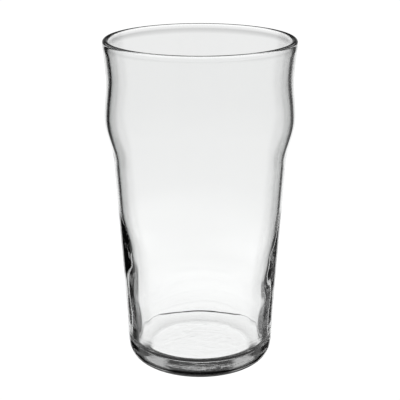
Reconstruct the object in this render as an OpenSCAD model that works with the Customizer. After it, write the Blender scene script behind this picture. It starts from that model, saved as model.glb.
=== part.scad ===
// Nonic pint glass: one clear moulded tumbler with a bulge under the rim.
// The glass is turned about +Z and stands on its bearing ring at z = 0.
// It is divided at its natural zones, which meet face to face and never overlap.
// All sizes are in millimetres.

/* [Outside] */
// Height from the bearing ring to the top of the rim
height = 152; // [148:1:162]
// Outer radius of the rim bead, its widest point
rim_r = 43.4; // [42.6:0.1:45]
// Outer radius at the crest of the bulge
crest_r = 43.1; // [42.6:0.1:46]
// Height of the crest of the bulge
crest_z = 116.6; // [112:0.2:121]
// Outer radius of the waist between the bulge and the rim
waist_r = 42.05; // [41:0.05:42.5]
// Height of the waist
waist_z = 133.5; // [130:0.5:137]
// Height of the neck, where the straight taper ends and the bulge begins
neck_z = 96.4; // [88:0.2:100]
// Outer radius at the neck
neck_r = 39.25; // [38:0.05:40.5]
// Outer radius low down, where the straight taper starts above the heel
foot_r = 34.75; // [34.3:0.05:36]
// Height at which the straight taper starts
foot_z = 25.5; // [20:0.5:30]

/* [Base] */
// Outer radius at the top of the rounded heel
heel_r = 33.9; // [32:0.1:34.2]
// Radius of the rounded heel
heel_round = 7.9; // [6:0.1:8.4]
// Thickness of the solid floor, from the bearing ring to the inside
floor_t = 7.9; // [6.5:0.1:9]
// Radius of the flat part of the inside floor
floor_flat_r = 25; // [24:0.1:25.5]
// Radius of the fillet between the inside floor and the inside wall
floor_fillet = 4.7; // [3.6:0.1:4.8]
// Radius at which the hollow under the glass starts
punt_r = 22.5; // [18:0.5:23.5]
// Depth of the shallow hollow under the glass
punt_depth = 0.2; // [0.1:0.1:1]

/* [Wall] */
// Wall thickness of the heavy lower part
lower_wall_t = 4; // [3.4:0.1:4.6]
// Height at which the heavy lower wall starts to thin
thinning_z = 34; // [28:1:44]
// Height at which the wall has reached its thin section
thin_z = 74; // [66:1:84]
// Wall thickness of the thin upper part, below the bulge
thin_wall_t = 1.9; // [1.4:0.05:2.4]
// Wall thickness at the waist under the rim
waist_wall_t = 2.35; // [1.6:0.05:2.4]
// Thickness of the rounded rim bead
bead_t = 2.6; // [2.4:0.1:3]
// Height of the rim bead, measured down from the top of the glass
bead_h = 4.2; // [3.4:0.1:5]

/* [Hidden] */
// Slope of the wall, millimetres of radius for each millimetre of height
taper = (neck_r - foot_r) / (neck_z - foot_z);
heel_slope = 0.1;
lip_slope = 0.08;
// The rim bead: half its thickness is its rounding radius
bead_round = bead_t / 2;
bead_step = 0.24;
bead_z = height - bead_h;
lip_r = rim_r - bead_step;
// Where the inside wall leaves the floor fillet
fillet_z = floor_t + floor_fillet;
fillet_r = floor_flat_r + floor_fillet;
// The lower wall takes over from the heel at this height
heel_z = 14;
// The floor disc ends where the bearing ring begins
floor_r = punt_r;
// The sphere that hollows out the underside
punt_ball = (punt_r * punt_r + punt_depth * punt_depth) / (2 * punt_depth);
punt_tilt = asin(punt_r / punt_ball);
// Lengths of the steps that the curved outlines are drawn in
step = 0.8;
arc_steps = 20;
// Sides of the drawing in the viewer
$fn = 144;

glass_clear = [0.86, 0.92, 0.92, 0.45];
glass_rim = [0.78, 0.87, 0.88, 0.6];
glass_thick = [0.72, 0.84, 0.85, 0.6];

// Smooth 0 to 1 ease between two heights
function ease(z, z0, z1) =
    let (t = min(1, max(0, (z - z0) / (z1 - z0))))
    t * t * (3 - 2 * t);

// Height z on the smooth curve from (z0, r0) with slope s0 to (z1, r1) with slope s1
function span(z, z0, r0, s0, z1, r1, s1) =
    let (h = z1 - z0, t = (z - z0) / h, u = 1 - t)
    r0 * u * u * (1 + 2 * t) + h * s0 * t * u * u
    + r1 * t * t * (3 - 2 * t) - h * s1 * t * t * u;

// Outer radius of the glass at height z, above the heel and below the rounded top
function outer(z) =
    z < foot_z ? span(z, heel_round, heel_r, heel_slope, foot_z, foot_r, taper) :
    z < neck_z ? foot_r + taper * (z - foot_z) :
    z < crest_z ? span(z, neck_z, neck_r, taper, crest_z, crest_r, 0) :
    z < waist_z ? span(z, crest_z, crest_r, 0, waist_z, waist_r, 0) :
    z < bead_z ? span(z, waist_z, waist_r, 0, bead_z, lip_r, lip_slope) :
    span(z, bead_z, lip_r, lip_slope, height - bead_round, rim_r, 0);

// Wall thickness at height z, measured level
function wall(z) =
    z < fillet_z ? outer(fillet_z) - fillet_r :
    z < thinning_z ?
        outer(fillet_z) - fillet_r
        + (lower_wall_t - outer(fillet_z) + fillet_r) * ease(z, fillet_z, thinning_z) :
    z < neck_z ?
        lower_wall_t + (thin_wall_t - lower_wall_t) * ease(z, thinning_z, thin_z) :
    z < bead_z ?
        thin_wall_t + (waist_wall_t - thin_wall_t) * ease(z, neck_z, waist_z) :
    waist_wall_t + (bead_t - waist_wall_t) * ease(z, bead_z, height - bead_round);

// Heights from z0 to z1 in even steps, both ends included
function heights(z0, z1) =
    let (n = ceil((z1 - z0) / step))
    [for (i = [0 : n]) z0 + (z1 - z0) * i / n];

// Points of an arc about (r, z), from angle a0 to angle a1
function arc(r, z, radius, a0, a1) =
    [for (i = [0 : arc_steps])
        let (a = a0 + (a1 - a0) * i / arc_steps)
        [r + radius * cos(a), z + radius * sin(a)]];

// The outer outline going up, and the inner outline going down, between two heights
function outer_line(z0, z1) = [for (z = heights(z0, z1)) [outer(z), z]];
function inner_line(z0, z1) =
    [for (z = heights(-z1, -z0)) [outer(-z) - wall(-z), -z]];

// A ring of wall between two level cuts
module wall_ring(z0, z1)
    rotate_extrude()
        polygon(concat(outer_line(z0, z1), inner_line(z0, z1)));

// Rounded rim, a little thicker than the wall below it
module rim_bead()
    color(glass_rim)
        rotate_extrude()
            polygon(concat(
                outer_line(bead_z, height - bead_round),
                arc(rim_r - bead_round, height - bead_round, bead_round, 0, 180),
                inner_line(bead_z, height - bead_round)));

// Waisted band that flares from the bulge up to the rim
module rim_band()
    color(glass_clear)
        wall_ring(waist_z, bead_z);

// The bulge, which gives grip and keeps stacked glasses apart
module bulge()
    color(glass_rim)
        wall_ring(neck_z, waist_z);

// Thin straight taper between the bulge and the thickened wall
module upper_wall()
    color(glass_clear)
        wall_ring(thin_z, neck_z);

// Heavy lower wall, thinning inside towards its top
module lower_wall()
    color(glass_thick)
        wall_ring(heel_z, thin_z);

// Rounded heel with the flat bearing ring, the inside fillet and the floor's rim
module heel()
    color(glass_clear)
        rotate_extrude()
            polygon(concat(
                [[floor_r, 0]],
                arc(heel_r - heel_round, heel_round, heel_round, -90, 0),
                outer_line(heel_round, heel_z),
                inner_line(fillet_z, heel_z),
                arc(floor_flat_r, fillet_z, floor_fillet, 0, -90),
                [[floor_r, floor_t]]));

// Solid floor, hollowed underneath so that only the bearing ring touches the table
module floor_disc()
    color(glass_thick)
        rotate_extrude()
            polygon(concat(
                arc(0, punt_depth - punt_ball, punt_ball, 90, 90 - punt_tilt),
                [[floor_r, floor_t], [0, floor_t]]));

rim_bead();
rim_band();
bulge();
upper_wall();
lower_wall();
heel();
floor_disc();
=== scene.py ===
"""Looks of the pint glass: one seamless clear glass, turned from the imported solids' outline."""

import math

import bpy
import numpy as np
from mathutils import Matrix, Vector


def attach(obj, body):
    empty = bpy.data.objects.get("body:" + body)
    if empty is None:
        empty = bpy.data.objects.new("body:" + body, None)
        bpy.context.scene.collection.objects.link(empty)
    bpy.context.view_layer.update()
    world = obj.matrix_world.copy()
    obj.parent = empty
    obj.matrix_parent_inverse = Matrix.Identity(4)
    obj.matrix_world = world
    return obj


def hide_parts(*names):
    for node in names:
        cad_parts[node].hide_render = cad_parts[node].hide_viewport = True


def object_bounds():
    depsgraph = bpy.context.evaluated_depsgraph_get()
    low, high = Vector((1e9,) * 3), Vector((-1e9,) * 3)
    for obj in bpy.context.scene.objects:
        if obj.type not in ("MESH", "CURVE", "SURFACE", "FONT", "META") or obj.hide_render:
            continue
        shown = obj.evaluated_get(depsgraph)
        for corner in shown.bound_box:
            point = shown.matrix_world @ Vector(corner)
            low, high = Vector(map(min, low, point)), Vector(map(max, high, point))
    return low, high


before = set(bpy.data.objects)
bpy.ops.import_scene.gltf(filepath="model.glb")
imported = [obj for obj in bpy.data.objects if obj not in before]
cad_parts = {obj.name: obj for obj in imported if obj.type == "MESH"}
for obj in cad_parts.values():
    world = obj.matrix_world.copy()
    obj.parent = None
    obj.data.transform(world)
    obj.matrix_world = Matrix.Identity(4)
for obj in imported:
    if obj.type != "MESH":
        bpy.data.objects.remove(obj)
cad_low, cad_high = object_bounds()

MM = 0.001
WHITE = (1, 1, 1, 1)
# How bright the table and the room are where the camera sees them past the glass
SEEN_WHITE = 1.05

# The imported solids' vertices nearer than this are in one place, or on one level
SAME_PLACE = 0.02 * MM
# How far below the inside floor a vertex still counts as on it
ON_FLOOR = 0.01 * MM
# The heel's points this near its join with the floor disc are left out
JOIN = 1 * MM
# Points of the outline nearer than this are one point
SAME_POINT = 0.05 * MM

# The glass: divisions round it, and the spacing of its outline's points
SEGMENTS = 288
WALL_STEP = 1.25 * MM
BEND_STEP = 0.42 * MM
RIM_STEP = 0.22 * MM
FLOOR_STEP = 2.2 * MM
RING_STEP = 0.8 * MM
SEAM_STEP = 0.15 * MM
# Heights where the heel's rounding and the inside fillet end
HEEL_TOP = 7.9 * MM
FILLET_TOP = 12.65 * MM

GLASS_IOR = 1.52
GLASS_TINT = (0.995, 1.0, 0.998, 1)
# How strongly the glass takes up light, for each metre of the light's way through it
GLASS_LOSS = 11.0
# The faint unevenness of the surface: blobs in a metre, their detail, and the bump they make
RIPPLE_SCALE, RIPPLE_DETAIL, RIPPLE_ROUGHNESS = 85.0, 2.0, 0.4
RIPPLE_STRENGTH, RIPPLE_DEPTH = 0.1, 0.00003
# The polish is perfect below the first noise value and this rough above the second
POLISH_NOISE = (0.35, 0.75)
POLISH_ROUGHNESS = 0.012
# The mottle of the underside: blobs in a metre, their detail, and how deep they are
STIPPLE_SCALE, STIPPLE_DETAIL, STIPPLE_ROUGHNESS = 260.0, 3.0, 0.55
STIPPLE_DEPTH = 0.0002
# The mottle fades out over these heights and over these radii
STIPPLE_TOP = (1 * MM, 2 * MM)
STIPPLE_R = (19 * MM, 22 * MM)

# Faint seams left by the mould round the heel: (height, how far they stand out)
SEAMS = ((11.5 * MM, 0.04 * MM), (16.0 * MM, 0.02 * MM))
SEAM_WIDTH = 0.3 * MM
SEAMS_END = 18 * MM

# The inside is a little off centre low down, so the wall is thicker on the left. The shift
# grows over the first two heights and fades over the last two
LEAN = 0.35 * MM
LEAN_BEGINS = (34 * MM, 50 * MM)
LEAN_ENDS = (56 * MM, 72 * MM)
# Slow waves round the inside: (waves in a turn, depth, phase, radians that they twist in
# each TWIST_HEIGHT)
WAVES = (
    (3, 0.05 * MM, 0.6, 3.0),
    (7, 0.03 * MM, 2.1, -3.0),
    (13, 0.015 * MM, 4.0, 2.0),
    (23, 0.012 * MM, 1.2, -2.0),
    (37, 0.008 * MM, 5.2, 1.0),
)
TWIST_HEIGHT = 0.1
# Between these heights the waves fade to this share, which stays in the upper wall
WAVES_LOW, WAVES_TOP = 36 * MM, 52 * MM
WAVES_LEFT = 0.12
# All the unevenness of the inside fades out over this much height above the floor, and over
# this much below the rim
EVEN_LOW, EVEN_TOP = 9 * MM, 10 * MM

# The camera, and the way that it looks, in degrees from +Y towards -X
CAMERA_TURN = 225
CAMERA_BACK = 509.1 * MM
CAMERA_UP = 239.75 * MM
CAMERA_PITCH = 17.7605
CAMERA_LENS = 103.85
CAMERA_SENSOR = 36.0
CAMERA_CLIP = 0.01

# The glass bends light many times before it leaves
GLASS_BOUNCES = 32
GLOSSY_BOUNCES = 16

# Half the width of the pale floor that the camera sees
PALE_FLOOR_HALF = 12.0

# The table near the glass, with painted light and shade: a painted glow under the floor, a
# painted shadow from there to the edge of the heel on the camera's side, and a thin painted dark
# ring outside, where the heel bends the light away. A pair of radii or ways is where a change
# begins and ends
TABLE_R = 48 * MM
TABLE_SIDES = 96
TABLE_BELOW = 0.02 * MM
# Where the painted glow under the floor fades out, and how bright it is
UNDER_R = (22 * MM, 25 * MM)
UNDER_PAINTED_GLOW = 1.32
# The painted shadow begins at these radii round a point this far behind the glass's axis, ends
# at the second radii round the axis, and is only on the camera's side
SHADOW_BACK = 2.5 * MM
SHADOW_R = (23.4 * MM, 25.6 * MM)
SHADOW_END = (32 * MM, 33 * MM)
SHADOW_SIDE = (-6 * MM, 6 * MM)
# The painted dark ring round the foot: its radius, and the half widths over which it fades
PAINTED_RING_R = 40.6 * MM
PAINTED_RING_HALF = (0.4 * MM, 0.8 * MM)

# What the glass sees far off, in a dark room: a backdrop behind it, one even light from the
# sides and from behind the camera, two lamps high beside the backdrop and a faint light low on
# the right. Each is (turn from the camera's own, half width, softness of the sides, lowest,
# highest, softness of the ends) in degrees, and a light's brightness comes last
BACKDROP = (0, 25, 3, -50, 80, 4)
LIGHTS = (
    (180, 120, 16, -60, 22, 12, 0.84),
    (32, 11, 6, 12, 42, 6, 0.9),
    (-32, 11, 6, 12, 42, 6, 0.9),
    (-46, 14, 12, -30, 0, 12, 0.1),
)
# The backdrop is this much wider on each side below these heights
SPREAD = 6
SPREAD_HEIGHTS = (-34, -27)
# Brightness of the dark room itself
ROOM = 0.01
# Brightness of the backdrop by elevation: (elevation, brightness), straight between them
LEVELS = (
    (-90, 1.12),
    (-26, 1.1),
    (-23, 1.02),
    (-17.5, 0.92),
    (-11.5, 0.863),
    (-9, 0.86),
    (-6, 0.6),
    (-3, 0.4),
    (6, 0.2),
    (12, 0.06),
    (17, 0.04),
    (90, 0.04),
)


def ease(x, low, high):
    """0 below low, 1 above high and smooth between them."""
    t = np.clip((np.asarray(x, float) - low) / (high - low), 0, 1)
    return t * t * (3 - 2 * t)


# --- the outline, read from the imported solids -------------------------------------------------


def cad_points(node):
    """The different (radius, height) places of a CAD node's vertices, lowest first."""
    co = np.array([v.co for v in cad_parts[node].data.vertices], float)
    places = np.column_stack([np.hypot(co[:, 0], co[:, 1]), co[:, 2]])
    places = places[np.unique(np.round(places / SAME_PLACE), axis=0, return_index=True)[1]]
    return places[np.argsort(places[:, 1], kind="stable")]


def wall_sides(node):
    """The outer and the inner points of a ring of wall, lowest first, one each on a level."""
    p = cad_points(node)
    level = np.round(p[:, 1] / SAME_PLACE)
    rows = [p[level == k] for k in np.unique(level)]
    outer = np.array([row[np.argmax(row[:, 0])] for row in rows])
    inner = np.array([row[np.argmin(row[:, 0])] for row in rows])
    return outer, inner


def joined(*lines):
    """Lines of points end to end, each point once."""
    p = np.concatenate(lines)
    return p[np.r_[True, np.hypot(*np.diff(p, axis=0).T) > SAME_POINT]]


def resample(p, step):
    """Even points along a smooth curve through p."""
    s = np.r_[0, np.cumsum(np.hypot(*np.diff(p, axis=0).T))]
    slope = np.gradient(p, s, axis=0)
    at = np.linspace(0, s[-1], int(math.ceil(s[-1] / step)) + 1)
    i = np.clip(np.searchsorted(s, at, side="right") - 1, 0, len(s) - 2)
    h = (s[i + 1] - s[i])[:, None]
    u = (at - s[i])[:, None] / h
    return (
        (2 * u**3 - 3 * u**2 + 1) * p[i]
        + (u**3 - 2 * u**2 + u) * h * slope[i]
        + (3 * u**2 - 2 * u**3) * p[i + 1]
        + (u**3 - u**2) * h * slope[i + 1]
    )


def with_seams(p):
    """Points of the outer wall, with the mould's seams standing out a little."""
    p = p.copy()
    for height, out in SEAMS:
        p[:, 0] += out * np.exp(-(((p[:, 1] - height) / SEAM_WIDTH) ** 2))
    return p


def glass_outline():
    """The outline from the axis underneath, round the rim, to the axis inside.

    With it comes how much of the inside's unevenness each of its points takes.
    """
    # The underside and the heel
    floor = cad_points("floor_disc")
    heel = cad_points("heel")
    floor_top = floor[:, 1].max()
    punt = floor[floor[:, 1] < floor_top / 2]
    punt = punt[np.argsort(punt[:, 0])]
    ring_r = punt[-1, 0]
    middle = (heel[-1, 0] + heel[-2, 0]) / 2
    inside = (heel[:, 1] >= floor_top - ON_FLOOR) & (heel[:, 0] < middle)
    beyond_join = heel[:, 0] > ring_r + JOIN
    heel_in = heel[inside & beyond_join]
    heel_out = heel[~inside & beyond_join]
    widest = heel_out[np.argmin(np.abs(heel_out[:, 1] - HEEL_TOP)), 1]
    heel_side = heel_out[heel_out[:, 1] >= widest]

    # The wall and the rim
    sides = [wall_sides(n) for n in ("lower_wall", "upper_wall", "bulge", "rim_band")]
    bead = cad_points("rim_bead")
    crest = bead[-1]
    bead_out = bead[bead[:, 0] > crest[0]]
    bead_in = bead[bead[:, 0] < crest[0]]
    tip = bead_out[np.argmax(bead_out[:, 0]), 1]
    curve_out = joined(heel_side, *[s[0] for s in sides], bead_out[bead_out[:, 1] <= tip])
    curve_in = joined(heel_in, *[s[1] for s in sides], bead_in[bead_in[:, 1] <= tip])[::-1]
    round_in = bead_in[bead_in[:, 1] >= tip][::-1]
    rounded_rim = joined(bead_out[bead_out[:, 1] >= tip], crest[None], round_in)

    fillet = curve_in[:, 1] < FILLET_TOP
    low_out = curve_out[:, 1] < SEAMS_END
    bearing_ring = np.array([[ring_r, 0], [heel_out[0, 0], 0]])
    inside_floor = np.array([[curve_in[-1, 0], floor_top], [0, floor_top]])
    p = joined(
        resample(punt, FLOOR_STEP),
        resample(bearing_ring, RING_STEP),
        resample(heel_out[heel_out[:, 1] <= widest], BEND_STEP),
        with_seams(resample(curve_out[low_out], SEAM_STEP)),
        resample(curve_out[np.flatnonzero(low_out)[-1] :], WALL_STEP),
        resample(rounded_rim, RIM_STEP),
        resample(curve_in[~fillet], WALL_STEP),
        resample(curve_in[fillet], BEND_STEP),
        resample(inside_floor, FLOOR_STEP),
    )
    top = int(np.argmax(p[:, 1]))
    uneven = np.zeros(len(p))
    above_floor = ease(p[top:, 1] - floor_top, 0, EVEN_LOW)
    uneven[top:] = above_floor * ease(crest[1] - p[top:, 1], 0, EVEN_TOP)
    return p, uneven


# --- the glass --------------------------------------------------------------------------------


def new_object(name, data):
    """A mesh, or the camera's data, as a new object of the scene."""
    made = bpy.data.objects.new(name, data)
    bpy.context.scene.collection.objects.link(made)
    return made


def glass_mesh():
    """The outline turned round the axis, with the inside a little uneven."""
    outline, uneven = glass_outline()
    # The CAD meshes have fewer sides, so their box is a hair inside the true circle
    fit = min(cad_high.x, -cad_low.x, cad_high.y, -cad_low.y) / outline[:, 0].max()
    outline[:, 0] *= min(1.0, fit)
    ring, ends = outline[1:-1], outline[[0, -1]]
    share = uneven[1:-1, None]
    turn = np.linspace(0, 2 * math.pi, SEGMENTS, endpoint=False)[None]
    r, z = ring[:, :1], ring[:, 1:]
    calm = 1 - ease(z, WAVES_LOW, WAVES_TOP) * (1 - WAVES_LEFT)
    wave = sum(
        depth * np.sin(count * turn + phase + twist * z / TWIST_HEIGHT)
        for count, depth, phase, twist in WAVES
    )
    bend = ease(z, *LEAN_BEGINS) * (1 - ease(z, *LEAN_ENDS))
    lean = LEAN * bend * np.cos(turn - math.radians(CAMERA_TURN))
    radius = r + share * (wave * calm + lean)
    rings = np.broadcast_arrays(radius * np.cos(turn), radius * np.sin(turn), z)
    verts = np.stack(rings, -1).reshape(-1, 3)
    verts = np.concatenate([verts, [[0, 0, ends[0, 1]], [0, 0, ends[1, 1]]]])

    here = np.arange(SEGMENTS)
    after = (here + 1) % SEGMENTS
    below = np.arange(len(ring) - 1)[:, None] * SEGMENTS
    above = below + SEGMENTS
    quads = np.stack([below + here, below + after, above + after, above + here], -1)
    last = (len(ring) - 1) * SEGMENTS
    under = len(ring) * SEGMENTS
    inside = under + 1
    pairs = np.stack([here, after], -1).tolist()
    fans = [(under, b, a) for a, b in pairs]
    fans += [(inside, last + a, last + b) for a, b in pairs]
    mesh = bpy.data.meshes.new("glass")
    mesh.from_pydata(verts.tolist(), [], quads.reshape(-1, 4).tolist() + fans)
    mesh.validate()
    mesh.shade_smooth()
    return mesh


def node(tree, kind, **inputs):
    """A shader node with some of its inputs set."""
    n = tree.nodes.new(kind)
    for name, value in inputs.items():
        n.inputs[name.replace("_", " ")].default_value = value
    return n


def maths(tree, op, a, b=None, c=None):
    """The output of a maths node of values and sockets."""
    n = tree.nodes.new("ShaderNodeMath")
    n.operation = op
    for i, v in enumerate((a, b, c)):
        if isinstance(v, (int, float)):
            n.inputs[i].default_value = v
        elif v is not None:
            tree.links.new(v, n.inputs[i])
    return n.outputs[0]


def vector_maths(tree, op, a, b=(0, 0, 0)):
    """The value of a vector maths node of a socket and a vector."""
    n = tree.nodes.new("ShaderNodeVectorMath")
    n.operation = op
    tree.links.new(a, n.inputs[0])
    n.inputs[1].default_value = b
    return n.outputs["Value"]


def parts_of(tree, vector):
    """The X, Y and Z sockets of a vector."""
    n = tree.nodes.new("ShaderNodeSeparateXYZ")
    tree.links.new(vector, n.inputs["Vector"])
    return n.outputs


def change(tree, value, start, end, to, way="LINEAR"):
    """0 below start, to above end and even between them, as a socket."""
    n = node(tree, "ShaderNodeMapRange", From_Min=start, From_Max=end, To_Max=to)
    n.interpolation_type = way
    tree.links.new(value, n.inputs["Value"])
    return n.outputs["Result"]


def rise(tree, value, low, high):
    """0 below low, 1 above high and smooth between them, as a socket."""
    return change(tree, value, low, high, 1, "SMOOTHSTEP")


def fall(tree, value, low, high):
    """1 below low, 0 above high and smooth between them, as a socket."""
    return maths(tree, "SUBTRACT", 1, rise(tree, value, low, high))


def noise(tree, vector, **inputs):
    """The value of a noise texture."""
    n = node(tree, "ShaderNodeTexNoise", **inputs)
    tree.links.new(vector, n.inputs["Vector"])
    return n.outputs["Fac"]


def glass_material():
    """Clear soda glass, with a faint unevenness in its polish and surface."""
    mat = bpy.data.materials.new("clear_glass")
    mat.use_nodes = True
    tree = mat.node_tree
    link = tree.links.new
    shader = tree.nodes["Principled BSDF"]
    shader.inputs["Base Color"].default_value = GLASS_TINT
    shader.inputs["IOR"].default_value = GLASS_IOR
    shader.inputs["Transmission Weight"].default_value = 1.0
    place = tree.nodes.new("ShaderNodeTexCoord").outputs["Object"]
    ripple = noise(
        tree, place, Scale=RIPPLE_SCALE, Detail=RIPPLE_DETAIL, Roughness=RIPPLE_ROUGHNESS
    )
    bump = node(tree, "ShaderNodeBump", Strength=RIPPLE_STRENGTH, Distance=RIPPLE_DEPTH)
    link(ripple, bump.inputs["Height"])
    link(change(tree, ripple, *POLISH_NOISE, POLISH_ROUGHNESS), shader.inputs["Roughness"])

    # The underside, inside the bearing ring, is finely mottled from the mould
    stipple = noise(
        tree, place, Scale=STIPPLE_SCALE, Detail=STIPPLE_DETAIL, Roughness=STIPPLE_ROUGHNESS
    )
    x, y, z = parts_of(tree, place)
    across = maths(tree, "MULTIPLY_ADD", x, x, maths(tree, "MULTIPLY", y, y))
    inside = fall(tree, maths(tree, "SQRT", across), *STIPPLE_R)
    mottle = node(tree, "ShaderNodeBump", Distance=STIPPLE_DEPTH)
    strength = maths(tree, "MULTIPLY", fall(tree, z, *STIPPLE_TOP), inside)
    link(strength, mottle.inputs["Strength"])
    link(stipple, mottle.inputs["Height"])
    link(bump.outputs["Normal"], mottle.inputs["Normal"])
    link(mottle.outputs["Normal"], shader.inputs["Normal"])

    loss = node(tree, "ShaderNodeVolumeAbsorption", Color=(0, 0, 0, 1), Density=GLASS_LOSS)
    link(loss.outputs["Volume"], tree.nodes["Material Output"].inputs["Volume"])
    return mat


# --- the studio -------------------------------------------------------------------------------


def sky_patch(tree, turn, height, middle, half, soft, low, high, end_soft):
    """1 in one part of the surroundings and 0 outside it, smooth over its edges."""
    aside = maths(tree, "SUBTRACT", turn, CAMERA_TURN + middle)
    off = maths(tree, "ABSOLUTE", maths(tree, "WRAP", aside, 180, -180))
    over = maths(tree, "SUBTRACT", off, half)
    wide = fall(tree, over, -soft / 2, soft / 2)
    above = rise(tree, height, low - end_soft / 2, low + end_soft / 2)
    below = fall(tree, height, high - end_soft / 2, high + end_soft / 2)
    return maths(tree, "MULTIPLY", maths(tree, "MULTIPLY", wide, above), below)


def studio_world():
    """The backdrop and the lights by their direction, and plain white for the camera."""
    world = bpy.data.worlds.new("studio")
    bpy.context.scene.world = world
    world.use_nodes = True
    tree = world.node_tree
    tree.nodes.clear()
    link = tree.links.new

    # The turn and the height of each direction, in degrees
    x, y, z = parts_of(tree, tree.nodes.new("ShaderNodeTexCoord").outputs["Generated"])
    height = maths(tree, "MULTIPLY", maths(tree, "ARCSINE", z), math.degrees(1))
    aside = maths(tree, "ARCTAN2", maths(tree, "MULTIPLY", x, -1), y)
    turn = maths(tree, "MULTIPLY", aside, math.degrees(1))

    level = LEVELS[0][1]
    for (start, at_start), (end, at_end) in zip(LEVELS[:-1], LEVELS[1:], strict=True):
        if at_end != at_start:
            more = change(tree, height, start, end, at_end - at_start)
            level = maths(tree, "ADD", more, level)
    middle, half, *edges = BACKDROP
    spread = fall(tree, height, *SPREAD_HEIGHTS)
    half = maths(tree, "MULTIPLY_ADD", spread, SPREAD, half)
    backdrop = sky_patch(tree, turn, height, middle, half, *edges)
    total = maths(tree, "MULTIPLY", level, backdrop)
    for *place, power in LIGHTS:
        light = maths(tree, "MULTIPLY", sky_patch(tree, turn, height, *place), power)
        total = maths(tree, "MAXIMUM", total, light)
    seen = node(tree, "ShaderNodeBackground", Color=WHITE)
    link(maths(tree, "ADD", total, ROOM), seen.inputs["Strength"])

    direct = node(tree, "ShaderNodeBackground", Color=WHITE, Strength=SEEN_WHITE)
    path = tree.nodes.new("ShaderNodeLightPath")
    mix = tree.nodes.new("ShaderNodeMixShader")
    link(path.outputs["Is Camera Ray"], mix.inputs["Fac"])
    link(seen.outputs[0], mix.inputs[1])
    link(direct.outputs[0], mix.inputs[2])
    out = tree.nodes.new("ShaderNodeOutputWorld")
    link(mix.outputs[0], out.inputs["Surface"])


def bare_material(mesh, name):
    """A new material of the mesh: its node tree and its surface socket."""
    mat = bpy.data.materials.new(name)
    mat.use_nodes = True
    mesh.materials.append(mat)
    mat.node_tree.nodes.clear()
    out = mat.node_tree.nodes.new("ShaderNodeOutputMaterial")
    return mat.node_tree, out.inputs["Surface"]


def pale_floor():
    """The white table, which the camera sees directly."""
    h = PALE_FLOOR_HALF
    mesh = bpy.data.meshes.new("floor")
    mesh.from_pydata([(-h, -h, 0), (h, -h, 0), (h, h, 0), (-h, h, 0)], [], [(0, 1, 2, 3)])
    floor = new_object("floor", mesh)
    tree, surface = bare_material(mesh, "pale_floor")
    glow = node(tree, "ShaderNodeEmission", Color=WHITE, Strength=SEEN_WHITE)
    tree.links.new(glow.outputs[0], surface)
    floor.visible_transmission = False
    floor.visible_glossy = False
    floor.visible_diffuse = False


def table_painted_light_and_shade():
    """The table near the glass, which only the glass sees, with painted light and shade on it."""
    turns = np.linspace(0, 2 * math.pi, TABLE_SIDES, endpoint=False)
    verts = [(TABLE_R * math.cos(a), TABLE_R * math.sin(a), -TABLE_BELOW) for a in turns]
    mesh = bpy.data.meshes.new("table_painted_light_and_shade")
    mesh.from_pydata(verts, [], [tuple(range(len(verts)))])
    patch = new_object("table_painted_light_and_shade", mesh)
    tree, surface = bare_material(mesh, "table_painted_light_and_shade")
    link = tree.links.new

    place = tree.nodes.new("ShaderNodeTexCoord").outputs["Object"]
    turn = math.radians(CAMERA_TURN)
    toward = Vector((math.sin(turn), -math.cos(turn), 0))
    far = vector_maths(tree, "LENGTH", place)
    near = vector_maths(tree, "DOT_PRODUCT", place, toward)
    around = vector_maths(tree, "DISTANCE", place, -SHADOW_BACK * toward)
    # The painted glow under the floor
    under = fall(tree, far, *UNDER_R)
    # The painted shadow under the heel, on the camera's side
    band = maths(tree, "MULTIPLY", rise(tree, around, *SHADOW_R), fall(tree, far, *SHADOW_END))
    shade = maths(tree, "MULTIPLY", band, rise(tree, near, *SHADOW_SIDE))
    # The painted dark ring round the foot
    off = maths(tree, "ABSOLUTE", maths(tree, "SUBTRACT", far, PAINTED_RING_R))
    dark = maths(tree, "MAXIMUM", shade, fall(tree, off, *PAINTED_RING_HALF))
    light = maths(tree, "SUBTRACT", 1, dark)

    # The painted glow, dimmed by the painted shadow and ring. Where it is neither painted bright
    # nor painted dark, the glass sees through it
    glow = node(tree, "ShaderNodeEmission", Color=WHITE)
    link(maths(tree, "MULTIPLY", light, UNDER_PAINTED_GLOW), glow.inputs["Strength"])
    clear = tree.nodes.new("ShaderNodeBsdfTransparent")
    mix = tree.nodes.new("ShaderNodeMixShader")
    link(maths(tree, "MAXIMUM", under, dark), mix.inputs["Fac"])
    link(clear.outputs[0], mix.inputs[1])
    link(glow.outputs[0], mix.inputs[2])
    link(mix.outputs[0], surface)
    patch.visible_camera = False


def camera():
    """The camera, at the photo's viewing angle."""
    data = bpy.data.cameras.new("camera")
    data.lens = CAMERA_LENS
    data.sensor_width = CAMERA_SENSOR
    data.clip_start = CAMERA_CLIP
    cam = new_object("camera", data)
    turn = math.radians(CAMERA_TURN)
    cam.location = (CAMERA_BACK * math.sin(turn), -CAMERA_BACK * math.cos(turn), CAMERA_UP)
    cam.rotation_euler = (math.radians(90 - CAMERA_PITCH), 0, turn)
    bpy.context.scene.camera = cam


def settings():
    """Plain colours, and enough bounces for light inside the glass."""
    scene = bpy.context.scene
    scene.view_settings.view_transform = "Standard"
    scene.view_settings.look = "None"
    scene.cycles.use_denoising = True
    scene.cycles.max_bounces = GLASS_BOUNCES
    scene.cycles.transmission_bounces = GLASS_BOUNCES
    scene.cycles.glossy_bounces = GLOSSY_BOUNCES


glass = new_object("glass", glass_mesh())
glass.data.materials.append(glass_material())
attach(glass, "root")
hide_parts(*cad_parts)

studio_world()
pale_floor()
table_painted_light_and_shade()
camera()
settings()
